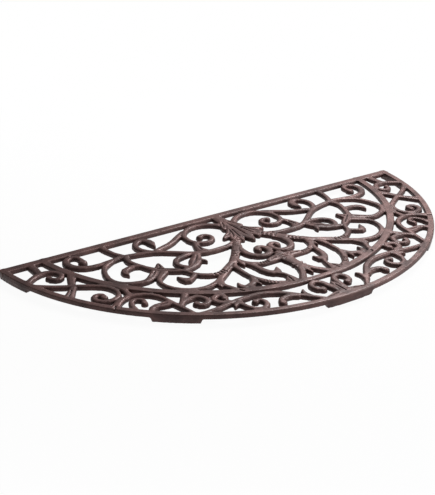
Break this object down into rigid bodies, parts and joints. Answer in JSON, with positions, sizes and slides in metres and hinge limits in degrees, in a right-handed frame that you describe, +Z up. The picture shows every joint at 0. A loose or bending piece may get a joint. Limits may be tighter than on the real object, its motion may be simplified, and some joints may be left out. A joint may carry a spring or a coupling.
{
  "type": "cast iron door mat",
  "caption": "Half-round cast iron door mat: straight back rail, curved rim on low feet, inner arch and openwork scrolls for scraping dirt off shoes.",
  "frame": {"origin": "middle of the mat's outline, on the floor under the feet", "axes": "+X along the straight back edge, +Y towards the back edge, +Z up; the curved front faces -Y"},
  "size_m": [0.72, 0.335, 0.013],
  "materials": {
    "iron": "sand-cast iron with a worn antique brown-black finish, slightly satin"
  },
  "bodies": {
    "root": {"back_rail": "iron", "outer_rim": "iron", "inner_arch": "iron", "foot_centre": "iron", "foot_front_left": "iron", "foot_front_right": "iron", "foot_corner_left": "iron", "foot_corner_right": "iron", "centre_palmette": "iron", "axis_column": "iron", "front_palmette": "iron", "main_stem_left": "iron", "main_stem_right": "iron", "upper_vine_left": "iron", "upper_vine_right": "iron", "heart_scroll_left": "iron", "heart_scroll_right": "iron", "rail_curl_left": "iron", "rail_curl_right": "iron", "upper_branch_left": "iron", "upper_branch_right": "iron", "middle_scroll_left": "iron", "middle_scroll_right": "iron", "lower_scroll_left": "iron", "lower_scroll_right": "iron", "outer_scroll_left": "iron", "outer_scroll_right": "iron", "leaf_scroll_left": "iron", "leaf_scroll_right": "iron", "middle_curl_left": "iron", "middle_curl_right": "iron", "axis_curl_left": "iron", "axis_curl_right": "iron", "cross_scroll_left": "iron", "cross_scroll_right": "iron", "heart_leaf_left": "iron", "heart_leaf_right": "iron", "lower_stem_left": "iron", "lower_stem_right": "iron", "border_scroll_1_left": "iron", "border_scroll_1_right": "iron", "border_scroll_2_left": "iron", "border_scroll_2_right": "iron", "border_scroll_3_left": "iron", "border_scroll_3_right": "iron", "border_stem_left": "iron", "border_stem_right": "iron", "corner_scroll_left": "iron", "corner_scroll_right": "iron", "rim_curl_left": "iron", "rim_curl_right": "iron", "small_curl_left": "iron", "small_curl_right": "iron", "border_curl_4_left": "iron", "border_curl_4_right": "iron", "front_curl_left": "iron", "front_curl_right": "iron"}
  },
  "joints": []
}
